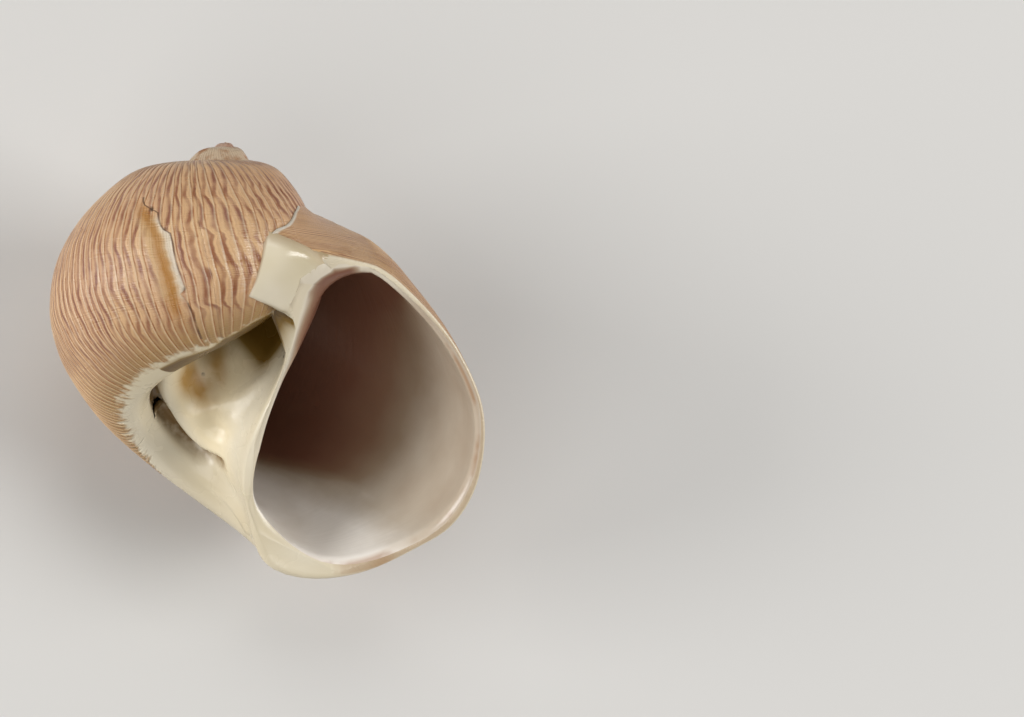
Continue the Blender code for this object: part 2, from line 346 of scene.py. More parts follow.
# Beside the mouth a smooth rib winds out of the umbilicus: a narrow trench parts it from the base,
# and its flank carries a soft crest and a dimple.  The line and the spots are in millimetres.
TRENCH_DEPTH, RISE_HEIGHT, CREST_HEIGHT, CREST_WIDTH, PIT_DEPTH = 0.75, 0.45, 0.32, 0.75, 0.16
TRENCH_EDGE = [(-0.6, 61.4), (-0.36, 61.9), (-0.25, 62.2), (-0.21, 62.5), (-0.18, 63.4), (-0.12, 65.6)]
CREST = [(3.8, 2.1, -19.1), (3.2, 2.0, -20.2), (2.4, 2.0, -21.3), (1.3, 2.2, -22.4), (0.4, 2.6, -23.5),
         (-0.3, 3.2, -24.4)]
DIMPLES = [((1.6, 2.5, -25.4), 0.55, 1.15)]
grid = np.zeros((len(lines), len(rows)))
where = on_shell(lines[:, None] + grid, body[None, :, 0] + grid, body[None, :, 1] + grid)
edge_here = np.interp(lines, *zip(*TRENCH_EDGE))[:, None]
across_trench = rows[None] - edge_here
trench = (eased((across_trench + 3.0) / 2.4) * (1 - eased((across_trench + 0.15) / 0.75))
          * eased((lines[:, None] + 0.55) / 0.12) * (1 - eased((lines[:, None] + 0.185) / 0.075)))
hump = (eased((across_trench + 0.2) / 1.4) * (1 - eased((across_trench - 3.5) / 7))
        * eased((lines[:, None] + 0.5) / 0.12) * (1 - eased((lines[:, None] + 0.24) / 0.12)))
relief = -TRENCH_DEPTH * trench + RISE_HEIGHT * hump
crest_line = np.concatenate([np.linspace(a, b, 5) for a, b in zip(CREST, CREST[1:])])
beside = (rows[None] > 60) & (lines[:, None] > -0.45)
near_crest = np.where(beside, np.min([np.linalg.norm(where - q, axis=-1) for q in crest_line], axis=0),
                      9)
relief = relief + CREST_HEIGHT * np.exp(-(near_crest / CREST_WIDTH) ** 2)
for spot, drop, size in DIMPLES:
    off_spot = np.linalg.norm(where - spot, axis=-1)
    relief = relief - np.where(beside, drop * np.exp(-(off_spot / size) ** 2), 0)
PITS = [(-0.687, 19.7, 0.2), (-0.677, 19.3, 0.13), (-0.696, 20.4, 0.15), (-0.7055, 24.2, 0.17),
        (-0.7125, 35.9, 0.2)]
for pit_turn, pit_row, size in PITS:
    aside = (lines[:, None] - pit_turn) * 2 * pi * body[None, :, 0] * GROWTH_PER_TURN ** pit_turn
    apart = np.hypot(aside, (rows[None] - pit_row) * GROWTH_PER_TURN ** pit_turn)
    relief = relief - PIT_DEPTH * np.exp(-(apart / size) ** 2)
healed = eased(from_scar / 0.22) * (1 - eased((from_scar - 0.2) / SCAR_HEALS)) * scar_here
wave = (0.10 * np.sin(rows[None] / 3.1 + counts[:, None] * 0.13)
        + 0.035 * np.sin(rows[None] / 1.35 + counts[:, None] * 0.41 + 2.0)
        + 0.015 * np.sin(rows[None] / 0.8 - counts[:, None] * 0.23))
near_lip = np.clip(1 + lines[:, None] / reach[None], 0, 1)[..., None] ** 2
section = body[None] + (lip - body)[None] * near_lip
squeeze = np.clip(1 + lines / 0.2, 0, 1)[:, None] * edge[None]
table = {
    "turn": lines[:, None] - squeeze + start[None] + wave * spacings[:, None] * 0.8,
    "radius": section[..., 0], "depth": section[..., 1],
    "rib": counts[:, None] + grid,
    "carving": (eased((rib_end + 0.6 - rows[None]) / 1.8) * eased((rows[None] - 0.5) / 2)
                * np.minimum(1, spacings[:, None] * (2 * pi * 23.9)
                             * GROWTH_PER_TURN ** lines[:, None] / 0.8)
                * (1 - 0.9 * eased(from_scar / 0.1 + 1) * eased((2.4 - from_scar) / 0.8) * scar_here)),
    "lift": -SCAR_DROP * healed + relief,
    "length": rows[None] + grid,
    "age": lines[:, None] + grid,
    "piece": grid,
}
into = inward(lip)
for angle in np.radians([15, 32, 50, 68, 90]):
    ring = lip + into * (lip_round * (1 - cos(angle)))[:, None]
    new = {"turn": start - edge * (1 - sin(angle)), "radius": ring[:, 0], "depth": ring[:, 1],
           "rib": counts[-1] + 1 + 0 * rows, "carving": 0 * rows, "lift": 0 * rows, "length": rows,
           "age": 0 * rows + 0.01 * (1 - np.sqrt(max(0, 1 - sin(angle) ** 2))), "piece": 0 * rows}
    for key in table:
        table[key] = np.vstack([table[key], new[key][None]])

shell_finish = bpy.data.materials.new("ribbed_aragonite")
callus_finish = bpy.data.materials.new("glossy_callus")
throat_finish = bpy.data.materials.new("glazed_throat")
tree = winding_tree()
stretches = []
cuts = np.searchsorted(lines, [FIRST_TURN - 1, -2.75, -2.1, -1.45, -1.1, -0.75, -0.35])
cuts[0] = 0
cuts = list(cuts) + [len(table["turn"]) - 1]
for first, last in zip(cuts, cuts[1:]):
    # the early whorls are small, so every other row is enough there
    few = slice(None, None, 2) if lines[first] < THIN_TURNS else slice(None)
    part = {key: values[first:last + 1, few] for key, values in table.items()}
    stretches.append(wind(f"stretch_{first}", tree, part, perimeter, {"Groove depth": GROOVE_DEPTH},
                          shell_finish))


# The hollow of the tube.  The snail smooths it from inside, so it has no ribs; it widens in a
# soft round where it runs out over the lip.
HOLLOW_SHRINK, HOLLOW_CENTRE, HOLLOW_BLEND = 0.09, np.array((14.0, 23.0)), 0.12
HOLLOW_AROUND, TRENCH_ASIDE = 79.8, -0.85
hollow_length = np.arange(0, 79.5, 0.9)
hollow_places = along(HOLLOW, hollow_length)
mouth_edge = on_curve(HOLLOW, hollow_places)
outer_lip = on_curve(LIP_OUTSIDE, np.linspace(0, len(LIP_OUTSIDE), 400, endpoint=False))
sharp_lip = eased((hollow_length - 6) / 8) * eased((50 - hollow_length) / 5)
round_over = np.clip((0.42 + 0.28 * sharp_lip) * gap_to(mouth_edge, outer_lip), 0.3, 1.3)
round_over = evened(round_over)
hollow_start = turn_at_mouth(mouth_edge)
outward = -inward(mouth_edge)
span = round_over / (2 * pi * mouth_edge[:, 0])
hollow_rows = {key: [] for key in table}


def add_hollow_ring(turn, ring, age):
    """Add a ring to the rows of the hollow's table."""
    # the wall behind the trench stays as thick as elsewhere
    aside = (TRENCH_ASIDE * np.exp(-((hollow_length - 50) / 3.2) ** 2) * eased((age + 0.62) / 0.12)
             * (1 - eased((age + 0.2) / 0.1)))
    for key, values in (("turn", turn), ("radius", ring[:, 0]), ("depth", ring[:, 1]),
                        ("rib", 0 * hollow_length), ("carving", 0 * hollow_length),
                        ("lift", aside),
                        ("length", hollow_length), ("age", age + 0 * hollow_length),
                        ("piece", 1 + 0 * hollow_length)):
        hollow_rows[key].append(values)


for turn in np.concatenate([np.linspace(-1.75, -0.9, 26), np.linspace(-0.88, -0.25, 40),
                            np.linspace(-0.24, 0, 40)]):
    size = 1 - HOLLOW_SHRINK * eased(-turn / HOLLOW_BLEND)
    ring = HOLLOW_CENTRE + (mouth_edge - HOLLOW_CENTRE) * size
    squeeze = np.clip(1 + turn / 0.2, 0, 1) * span
    add_hollow_ring(hollow_start + turn - squeeze, ring, turn)
for angle in np.radians([15, 30, 45, 60, 75, 88]):
    ring = mouth_edge + outward * (round_over * (1 - cos(angle)))[:, None]
    add_hollow_ring(hollow_start - span * (1 - sin(angle)), ring, 0.004 * (1 - cos(angle)))
flared = mouth_edge + outward * (round_over * 1.02)[:, None]
for turn in (0.004, 0.02, 0.04):
    add_hollow_ring(hollow_start + turn, flared, 0.01)
hollow_table = {key: np.array(values) for key, values in hollow_rows.items()}
hollows = []
for first, last in ((0, 20), (20, 50), (50, len(hollow_rows["turn"]) - 1)):
    part = {key: values[first:last + 1] for key, values in hollow_table.items()}
    hollows.append(wind(f"hollow_{first}", tree, part, HOLLOW_AROUND, {"Groove depth": 0.0},
                        throat_finish))


# The callus pad.  Ivory enamel laid over the turn before, between the suture and the umbilicus;
# its left edge is thin and raised, its lower edge hangs free, and its right side rolls into the mouth.
PAD_ROWS = [
    [(4.05, -8.4, 7.55), (6.0, -7.8, 8.15), (7.9, -6.9, 8.8), (9.8, -5.2, 9.8)],
    [(3.95, -9.1, 8.8), (6.0, -8.65, 9.1), (7.8, -7.6, 9.6), (9.8, -5.4, 10.6)],
    [(3.75, -9.25, 10.3), (5.7, -8.65, 10.5), (7.4, -7.3, 10.9), (9.3, -5.1, 11.7)],
    [(3.45, -9.2, 12.0), (5.2, -8.2, 12.2), (7.0, -6.7, 12.6), (8.7, -4.7, 13.3)],
    [(3.0, -8.95, 13.4), (4.5, -7.65, 13.8), (6.0, -6.1, 14.4), (7.5, -4.4, 15.4)],
]
PAD_TO_BACK = np.array((-0.9, 2.4, -0.5))
PAD_EDGE = 0.35
PAD_STEPS = 12


def open_curve(points, steps):
    """Points along the smooth open curve through the points, with steps to each span."""
    points = np.asarray(points, float)
    padded = np.concatenate([2 * points[:1] - points[1:2], points, 2 * points[-1:] - points[-2:-1]])
    curve = []
    for before, here, after, beyond in zip(padded, padded[1:], padded[2:], padded[3:]):
        for f in np.arange(steps) / steps:
            curve.append(between(before, here, after, beyond, f))
    return np.array(curve + [points[-1]])


pad_front = open_curve([open_curve(row, PAD_STEPS) for row in PAD_ROWS], PAD_STEPS)
pad_front[..., 2] *= -1
back_way = PAD_TO_BACK * (1, 1, -1)
from_left = np.cumsum(np.linalg.norm(np.diff(pad_front, axis=1, prepend=pad_front[:, :1]), axis=2),
                      axis=1)
from_top = np.cumsum(np.linalg.norm(np.diff(pad_front, axis=0, prepend=pad_front[:1]), axis=2), axis=0)
from_foot = from_top[-1:] - from_top
nearest = np.minimum(from_left, from_foot)
drop = PAD_EDGE * (1 - np.sqrt(1 - (1 - np.clip(nearest / PAD_EDGE, 0, 1)) ** 2))
unit_back = back_way / np.linalg.norm(back_way)
pad_front = pad_front + unit_back * drop[..., None]


def slab(name, front, back_way, growth, age, finish):
    """A closed slab behind a grid of front points; growth and age are what its finish reads."""
    tall, wide = front.shape[:2]
    number = np.arange(tall * wide).reshape(tall, wide)
    faces = []
    for a in (number, number + tall * wide):
        quads = np.stack([a[:-1, :-1], a[:-1, 1:], a[1:, 1:], a[1:, :-1]], axis=-1).reshape(-1, 4)
        faces += (quads[:, ::-1] if a is number else quads).tolist()
    rim = np.concatenate([number[0, :-1], number[:-1, -1], number[-1, :0:-1], number[:0:-1, 0]])
    for here, there in zip(rim, np.roll(rim, -1)):
        faces.append([here, there, there + tall * wide, here + tall * wide])
    mesh = bpy.data.meshes.new(name)
    both = [front.reshape(-1, 3), (front + back_way).reshape(-1, 3)]
    mesh.from_pydata(np.concatenate(both), [], faces)
    corners = read(mesh.loops, "vertex_index", kind=np.int32)
    for layer_name, values in (("growth", growth), ("age", age)):
        layer = mesh.uv_layers.new(name=layer_name)
        pairs = np.stack([value.ravel() for value in values], axis=-1)
        layer.data.foreach_set("uv", np.concatenate([pairs, pairs])[corners].ravel().astype(np.float32))
    mesh.materials.append(finish)
    mesh.shade_smooth()
    return bpy.data.objects.new(name, mesh)


pad = slab("callus_pad", pad_front, back_way, (from_left, from_foot), (from_top, 2 + 0 * from_top),
           callus_finish)


# The lap.  Where the last whorl ends, its roof creeps over the shoulder of the turn before as a thin
# sheet of the same aragonite, down to the top of the callus pad; its torn left edge is white.
LAP_ROWS = [
    (-0.200, [(6.40, -3.4, 4.8), (7.0, -1.4, 4.8), (6.9, 1.0, 4.8), (6.2, 3.2, 4.8)]),
    (-0.170, [(6.55, -4.5, 5.2), (7.4, -2.6, 5.3), (7.9, 0.4, 5.3), (8.4, 3.9, 5.4)]),
    (-0.130, [(6.35, -5.6, 5.8), (7.4, -4.0, 5.8), (8.3, -1.4, 5.8), (9.6, 2.2, 5.8)]),
    (-0.090, [(6.15, -6.3, 6.4), (7.2, -5.1, 6.4), (8.5, -2.8, 6.4), (10.2, 0.15, 6.4)]),
    (-0.055, [(5.70, -7.1, 7.0), (7.2, -5.7, 7.0), (8.8, -3.8, 7.0), (10.7, -1.25, 7.0)]),
    (-0.040, [(4.90, -8.15, 7.5), (7.0, -6.5, 7.6), (8.8, -4.9, 7.6), (11.0, -2.6, 7.6)]),
    (-0.025, [(4.50, -8.4, 8.1), (6.8, -7.05, 8.2), (8.8, -5.5, 8.2), (11.0, -3.8, 8.2)]),
    (-0.010, [(4.70, -8.2, 8.8), (6.8, -7.2, 8.8), (8.7, -6.0, 8.8), (10.8, -4.8, 8.8)]),
]
LAP_TO_BACK = np.array((-0.9, 2.0, -0.6))
LAP_STEPS = 5
sheet = open_curve([open_curve(row, LAP_STEPS) for _, row in LAP_ROWS], LAP_STEPS)
sheet[..., 2] *= -1
lap_turn = open_curve([(turn, 0, 0) for turn, _ in LAP_ROWS], LAP_STEPS)[:, :1] + 0 * sheet[..., 0]
from_tear = np.cumsum(np.linalg.norm(np.diff(sheet, axis=1, prepend=sheet[:, :1]), axis=2), axis=1)
lap_length = 1.0 + 4.3 * from_tear / from_tear[:, -1:]
lap = slab("lap", sheet, LAP_TO_BACK, (np.interp(lap_turn, lines, counts), lap_length),
           (lap_turn, 3 + np.minimum(from_tear, 9) / 10), shell_finish)


# One shell.  The whorls and the pad grew into each other, so they are joined and the hollow is
# taken out.  The shell is laid on its back, where a small patch is cut flat to rest on the floor.
APEX_PLACE = (-14.77, 11.74, 21.37)
LAID_BACK, LEANT_OVER, TURNED = -76.9, -8.5, 31.1
lie = (Matrix.Translation(APEX_PLACE) @ Matrix.Rotation(radians(TURNED), 4, "Z")
       @ Matrix.Rotation(radians(LEANT_OVER), 4, "Y") @ Matrix.Rotation(radians(LAID_BACK), 4, "X"))
shell = stretches[-1]
bpy.context.scene.collection.objects.link(shell)
for tool, operation in ([(piece, "UNION") for piece in stretches[:-1] + [lap, pad]]
                        + [(piece, "DIFFERENCE") for piece in hollows]):
    bpy.context.scene.collection.objects.link(tool)
    cut = shell.modifiers.new(tool.name, "BOOLEAN")
    cut.operation, cut.solver, cut.material_mode = operation, "MANIFOLD", "TRANSFER"
    cut.object = tool
depsgraph = bpy.context.evaluated_depsgraph_get()
joined = bpy.data.meshes.new_from_object(shell.evaluated_get(depsgraph), preserve_all_data_layers=True,
                                         depsgraph=depsgraph)
for old in stretches + hollows + [lap, pad]:
    bpy.data.objects.remove(old)
joined.validate(clean_customdata=False)
joined.transform(lie)
spots = read(joined.vertices, "co", 3)
# The enamel flows over the join of pad, inner lip and mouth, so that join is eased smooth
INNER_LIP_FOOT = [(3.9, -9.4, 15.3), (4.6, -10.3, 14.7), (5.4, -11.0, 14.0), (6.5, -11.7, 13.3),
                  (7.8, -12.4, 12.6)]
JOIN_WIDTH, JOIN_FADE, JOIN_ROUNDS, HOLLOWED_ROUNDS = 1.0, 1.8, 40, 6


def neighbour_sums(values, links):
    """For each vertex, the sum of the values at its neighbours and how many neighbours it has."""
    total, number_of = np.zeros_like(values), np.zeros(len(values))
    for a, b in (links.T, links.T[::-1]):
        np.add.at(total, a, values[b])
        np.add.at(number_of, a, 1)
    return total, number_of


pad_right = np.array([lie @ Vector((x, y, -z)) for row in PAD_ROWS for x, y, z in [row[3]]])
lap_right = [tuple(lie @ Vector(point)) for point in sheet[10:, -1:].reshape(-1, 3)]
pad_right = np.concatenate([open_curve(pad_right, 6), open_curve(INNER_LIP_FOOT, 4), lap_right])
from_join = np.min([np.linalg.norm(spots - point, axis=1) for point in pad_right], axis=0)
share = 1 - eased((from_join - JOIN_WIDTH) / JOIN_FADE)
every_edge = read(joined.edges, "vertices", 2, np.int32)
links = every_edge[(share[every_edge] > 0).any(axis=1)]
for _ in range(JOIN_ROUNDS):
    total, number_of = neighbour_sums(spots, links)
    mean = total / np.maximum(number_of, 1)[:, None]
    spots += (mean - spots) * (0.5 * share * (number_of > 0))[:, None]
spots[:, 2] = np.maximum(spots[:, 2], 0)
joined.vertices.foreach_set("co", (spots * 0.001).ravel())
joined.update()
shell = bpy.data.objects.new("moon_snail_shell_grown", joined)
bpy.context.scene.collection.objects.link(shell)

# What the finishes follow: distances in millimetres and shares from 0 to 1, at each face corner
corners = read(joined.loops, "vertex_index", kind=np.int32)
rib, length = read(joined.uv_layers["growth"].data, "uv", 2).T
turn, piece = read(joined.uv_layers["age"].data, "uv", 2).T
outer, inside = (piece < 0.5) | (piece > 2.5), (piece > 0.5) & (piece < 1.5)
torn = np.where(piece > 2.5, (piece - 3) * 10, 9)
radius_here = np.interp(length, rows, body[:, 0])
scale = GROWTH_PER_TURN ** np.clip(turn, -3.5, 0.1)
past_edge = np.where(outer, (length - np.interp(turn, *zip(*RIBS_END))) * scale, 0)
from_scar = np.where(outer & (length > 14) & (length < 48),
                     (turn - np.interp(length, *zip(*SCAR))) * 2 * pi * radius_here * scale, -9)
scar_here = eased((length - 16.5) / 2.5) * eased((47.5 - length) / 2.0) * outer
from_scar = np.where(scar_here > 0, from_scar, -9)
REGROWN = [(14.0, -0.675), (20.0, -0.695), (25.0, -0.7085), (30.0, -0.7125), (36.0, -0.7135),
           (46.6, -0.7170)]
regrown = np.where(from_scar > -8, (turn - np.interp(length, *zip(*REGROWN))) * 2 * pi * radius_here
                   * scale, -9)
honey = eased((length - 17) / 4) * eased((44 - length) / 7) * outer
pale = eased((length - 20.5) / 2.5) * eased((38.5 - length) / 2.5) * outer
front = np.where(outer, eased((-0.40 - turn) / 0.14), 0)
# The stripes step sideways along a few spiral lines
kink_front = 24.0 + (-0.75 - turn) * 45
kink_low = 39.5 + (-0.75 - turn) * 30
kink_back = 15.6 + (-0.144 - turn) * 46
uneven = 0.5 + 0.5 * np.sin(np.floor(rib) * 2.4)
till_lip, from_turn = eased((-0.10 - turn) / 0.05), eased((turn + 0.36) / 0.08)
from_early = eased((turn + 0.86) / 0.03)
kink = (0.62 * eased((length - kink_front) / 1.1) * from_early * eased((-0.735 - turn) / 0.02)
        + 0.5 * eased((length - kink_low) / 1.1) * from_early * eased((-0.70 - turn) / 0.04)
        + (0.55 + 0.2 * uneven) * eased((length - kink_back - uneven) / 1.3) * till_lip * from_turn
        - (0.30 + 0.2 * uneven) * eased((length - kink_back - 2.6) / 0.9) * till_lip * from_turn)
# The brown deep in the mouth, and its border: partly the lining's own colour, partly painted shade
# where light does not reach inside
DARK_FROM = [(0, 0.0075), (1.3, 0.0105), (2.6, 0.009), (3.5, 0.004), (5, 0.001), (7, -0.002),
             (9, -0.02),
             (12, -0.035), (14, -0.042), (20, -0.050), (25, -0.055), (34, -0.054), (35.5, -0.08),
             (37.5, -0.14), (41, -0.28), (50, -0.28), (56, -0.1), (60, -0.01), (66, 0.002),
             (74, 0.006), (78, 0.005), (80, 0.0075)]
DARK_OVER = [(0, 0.005), (3, 0.006), (7, 0.03), (12, 0.10), (34, 0.10), (38, 0.14), (50, 0.12),
             (56, 0.08),
             (61, 0.02), (70, 0.01), (80, 0.005)]
deep = np.where(inside, eased((np.interp(length, *zip(*DARK_FROM))
                               - turn) / np.interp(length, *zip(*DARK_OVER))), 0)
# more darkening at some lengths along the mouth: painted shade in tan-grey
deep = deep + inside * (1 - deep) * np.interp(length, [6, 11, 24, 30, 36, 40],
                                              [0.1, 0.34, 0.26, 0.26, 0.2, 0])
# Dirt that gathers where little light or water reaches, and painted shade there: the occlusion of the
# hollows darkens the colour
normals = read(joined.vertices, "normal", 3)
hollowed = np.zeros(len(joined.vertices))
near_umbilicus = np.unique(corners[outer & (length > 50) & (turn > -0.62)])
looks = np.random.default_rng(5).normal(size=(24, 3))
looks /= np.linalg.norm(looks, axis=1)[:, None]
tree_of_faces = BVHTree.FromPolygons((spots).tolist(), [list(p.vertices) for p in joined.polygons])
for vertex in near_umbilicus:
    place, up = Vector(spots[vertex]), normals[vertex]
    way = looks * np.where(looks @ up < 0, -1, 1)[:, None]
    blocked = sum(tree_of_faces.ray_cast(place + Vector(up) * 0.05, Vector(d),
                                         30)[0] is not None for d in way)
    hollowed[vertex] = blocked / len(looks)
for _ in range(HOLLOWED_ROUNDS):
    total, number_of = neighbour_sums(hollowed, every_edge)
    hollowed = (hollowed + total) / (1 + number_of)
hollowed = hollowed[corners]
# painted shade: a thin darker band along the suture, where the turns meet
grime = np.where(outer, 0.45 * eased((5.5 - length) / 4) * eased((turn + 0.75) / 0.2)
                 * eased((-0.2 - turn) / 0.06), 0)
in_umbilicus = outer & (length > 56) & (turn > -0.62)
# the hole is stained and darkened with painted shade up to two lines across it, here by distance right
# of the axis and below the apex
within = np.array(lie.inverted().to_3x3()) @ (spots - APEX_PLACE).T
right_here, depth_here = within[0][corners], -within[2][corners]
off_lip = (7.1 - right_here) * 0.86 + (14.9 - depth_here) * 0.51
off_rib = (right_here - 1.4) * 0.707 - (depth_here - 15.4) * 0.707
hole_stain_and_shade = eased(off_lip / 1.4 + 0.6) * eased(off_rib / 3.0
                                                 + 0.6) * eased((length - 68) / 4) * (turn > -0.4)
grime = np.maximum(grime, np.where(in_umbilicus,
                                   np.maximum(0.5 * eased((hollowed - 0.7) / 0.3), hole_stain_and_shade), 0))
# the front whorl's wall that faces into the umbilicus: brown dirt with painted shade
grime = np.maximum(grime, np.where(outer & (turn < -0.62) & (turn > -1.05),
                                   eased((past_edge + 0.7 * eased((-0.72 - turn) / 0.04)
                                          - 0.45) / 0.6), 0))
trench_from = length - np.interp(turn, *zip(*TRENCH_EDGE))
trench_grit = (eased((trench_from + 2.6) / 1.6) * (1 - eased((trench_from + 0.1) / 0.5))
               * eased((turn + 0.50) / 0.08) * (1 - eased((turn + 0.155) / 0.05)) * in_umbilicus)
# Stains on the smooth rib, and the pits along the break: turn, row, size and strength of each
STAINS = [(-0.384, 66.7, 1.1, 0.9), (-0.33, 68.6, 1.3, 0.7), (-0.282, 69.7, 1.1, 0.8),
          (-0.25, 76.9, 0.7, 0.7),
          (-0.243, 75.5, 0.7, 0.85), (-0.236, 74.1, 0.9, 0.85), (-0.245, 71.8, 1.0, 0.6)]
stained, pitted = np.zeros(len(corners)), np.zeros(len(corners))
for marks, layer in ((STAINS, stained), ([(*pit, 1.0) for pit in PITS], pitted)):
    for mark_turn, mark_row, size, strength in marks:
        aside = (turn - mark_turn) * 2 * pi * radius_here * scale
        apart = np.hypot(aside, (length - mark_row) * scale)
        layer += np.where(outer, strength * np.exp(-(apart / size) ** 2), 0)
for name, values in (("past_edge", past_edge), ("from_scar", from_scar), ("front", front),
                     ("kink", kink),
                     ("stained", stained), ("pitted", pitted), ("torn", torn),
                     ("deep", deep), ("grime", grime), ("regrown", regrown), ("honey", honey),
                     ("grit", trench_grit), ("pale", pale)):
    layer = joined.attributes.new(name, "FLOAT", "CORNER")
    layer.data.foreach_set("value", values.astype(np.float32))


def tint(code):
    """A colour written as sRGB hex, made linear."""
    values = [int(code[k:k + 2], 16) / 255 for k in (1, 3, 5)]
    return [v / 12.92 if v <= 0.04045 else ((v + 0.055) / 1.055) ** 2.4 for v in values] + [1.0]


def blank_tree(finish):
    """The finish's node tree, emptied."""
    finish.use_nodes = True
    finish.node_tree.nodes.clear()
    return finish.node_tree


# Ribbed aragonite: chalky crystal under a thin worn skin, so it has a broad soft gloss; mauve-brown
# stripes lie in it, out of step with the ribs, and rust settles in the grooves.
tree = blank_tree(shell_finish)
put = partial(add, tree)
maths, mix, ease = "ShaderNodeMath", "ShaderNodeMix", "ShaderNodeMapRange"
noise, blend = "ShaderNodeTexNoise", "ShaderNodeValToRGB"
rib, length = put("ShaderNodeSeparateXYZ",
                  [put("ShaderNodeUVMap", uv_map="growth")]).node.outputs[:2]
turn = put("ShaderNodeSeparateXYZ", [put("ShaderNodeUVMap", uv_map="age")])
past_edge, from_scar, front, kink, grime, regrown, honey, pale, pitted, torn, stained, grit = (
    put("ShaderNodeAttribute", attribute_name=name, out=2)
    for name in ("past_edge", "from_scar", "front", "kink", "grime", "regrown", "honey", "pale",
                 "pitted", "torn", "stained", "grit"))
spot = put("ShaderNodeTexCoord", out=3)

# Where the stripe lies: the rib count, pushed sideways by the kinks, a slow drift and a fine wiggle
grown = []
for across, down, level, detail, dimensions in (
        (0.07, 0.16, None, 1.0, "3D"), (0.22, 0.55, 7.0, 2.0, "3D"), (0.8, 0.5, None, 2.0, "2D"),
        (0.35, 4.0, None, 1.0, "2D"), (7.0, 0.12, None, 2.0, "2D")):
    place = put("ShaderNodeCombineXYZ", [put(maths, [rib, across], **times),
                                         put(maths, [length, down], **times), level])
    grown.append(put(noise, {"Vector": place, "Scale": 1.0, "Detail": detail},
                     noise_dimensions=dimensions))
drift, wiggle, fold, threads, hairs = grown
phase = put(maths, [drift, 1.7, rib], operation="MULTIPLY_ADD")
phase = put(maths, [wiggle, 0.3, phase], operation="MULTIPLY_ADD")
phase = put(maths, [phase, kink], operation="ADD")
stripe_number = put(maths, [phase], operation="FLOOR")
phase = put(maths, [phase], operation="FRACT")

front_band = put(blend, [phase],
                 stops=[(0, 0.25), (0.08, 0.0), (0.2, 0.05), (0.33, 0.9), (0.52, 1.0), (0.66, 0.55),
                        (0.82, 0.15), (1, 0.25)])
back_band = put(blend, [phase],
                stops=[(0, 0.12), (0.08, 0.02), (0.40, 0.05), (0.55, 0.75), (0.72, 1.0), (0.84, 0.8),
                       (0.97, 0.12)])
band = put(mix, {0: front, 6: back_band, 7: front_band}, **rgba)
each = put("ShaderNodeCombineXYZ", [put(maths, [stripe_number, 3.7], **times),
                                    put(maths, [length, 0.2], **times)])
strength = put(noise, {"Vector": each, "Scale": 1.0, "Detail": 2.0}, noise_dimensions="2D")
strength = put(ease, [strength, 0.33, 0.6, 0.45, 1.0])
band = put(maths, [band, strength], **times)
near_base = put(ease, [past_edge, -5.0, -0.6], **smooth)
band = put(maths, [band, put(ease, [near_base, 0.0, 1.0, 1.0, 0.35])], **times)

patches, clouds, flecks, cloudy = (
    put(noise, {"Vector": spot, "Scale": scale, "Detail": detail})
    for scale, detail in ((260.0, 3.0), (90.0, 2.0), (900.0, 2.0), (350.0, 3.0)))
front_ground = put(mix, {0: put(ease, [clouds, 0.35, 0.65]), 6: tint("#cfa87a"), 7: tint("#c89f7a")},
                   **rgba)
back_ground = put(mix, {0: put(ease, [clouds, 0.35, 0.65]), 6: tint("#d3ab78"), 7: tint("#c99f72")},
                  **rgba)
ground = put(mix, {0: front, 6: back_ground, 7: front_ground}, **rgba)
stripe = put(mix, {0: front, 6: tint("#864b28"), 7: tint("#875233")}, **rgba)
purple = put(mix, {0: put(ease, [patches, 0.42, 0.66, 0.0, 0.7]), 6: stripe, 7: tint("#7b4c40")},
             **rgba)
# toward the smooth base the ground darkens to olive-tan: partly its own colour, partly painted shade on
# the lower side of the whorl
ground = put(mix, {0: put(maths, [near_base, 0.9], **times), 6: ground, 7: tint("#9f7e4a")}, **rgba)
colour = put(mix, {0: band, 6: ground, 7: purple}, **rgba)
coats = []      # of share and colour, each laid over the ones before

groove_phase = put(maths, [rib], operation="FRACT")
line = put(blend, [groove_phase], stops=[(0, 1.0), (0.04, 0.9), (0.12, 0.0), (0.9, 0.0), (1, 0.9)])
along_rib = put("ShaderNodeCombineXYZ",
                [put(maths, [put(maths, [rib, 0.5], operation="ADD")], operation="FLOOR"),
                                         put(maths, [length, 0.35], **times)])
line_strength = put(noise, {"Vector": along_rib, "Scale": 1.7, "Detail": 2.0}, noise_dimensions="2D")
line = put(maths, [line, put(ease, [line_strength, 0.35, 0.6, 0.3, 0.85])], **times)
# a pale line along each rib's crest just beside the groove: painted highlight
crest_highlight = put(blend, [groove_phase], stops=[(0, 0.0), (0.07, 0.1), (0.13, 0.5), (0.20, 0.25), (0.3, 0.0)])
coats.append((crest_highlight, tint("#dcc7a6")))
coats.append((line, tint("#9a5c2b")))

# The healed break: a pale band, then a honey streak, along its regrown side, and a dark broken line
regrown = put(maths, [wiggle, 0.5, put(maths, [regrown, -0.25], operation="ADD")],
              operation="MULTIPLY_ADD")
on_young_side = put(ease, [from_scar, -0.03, 0.05])
band = put(blend, [put(ease, [regrown, -0.5, 3.5])],
           stops=[(0.1, 0.85), (0.33, 0.8), (0.55, 0.7), (0.75, 0.0)])
band = put(maths, [put(maths, [band, pale], **times), on_young_side], **times)
pale_colour = put(mix, {0: put(ease, [regrown, 0.3, 0.8]), 6: tint("#cec1aa"), 7: tint("#c9ab80")},
                  **rgba)
coats.append((band, pale_colour))
streak = put(blend, [put(ease, [regrown, 0.0, 2.4])],
             stops=[(0.2, 0.0), (0.38, 0.9), (0.52, 1.0), (0.64, 0.6), (0.9, 0.0)])
streak = put(maths, [put(maths, [streak, honey], **times), on_young_side], **times)
streak = put(maths, [streak, put(ease, [clouds, 0.35, 0.6, 0.7, 1.0])], **times)
coats.append((streak, tint("#a06a1c")))
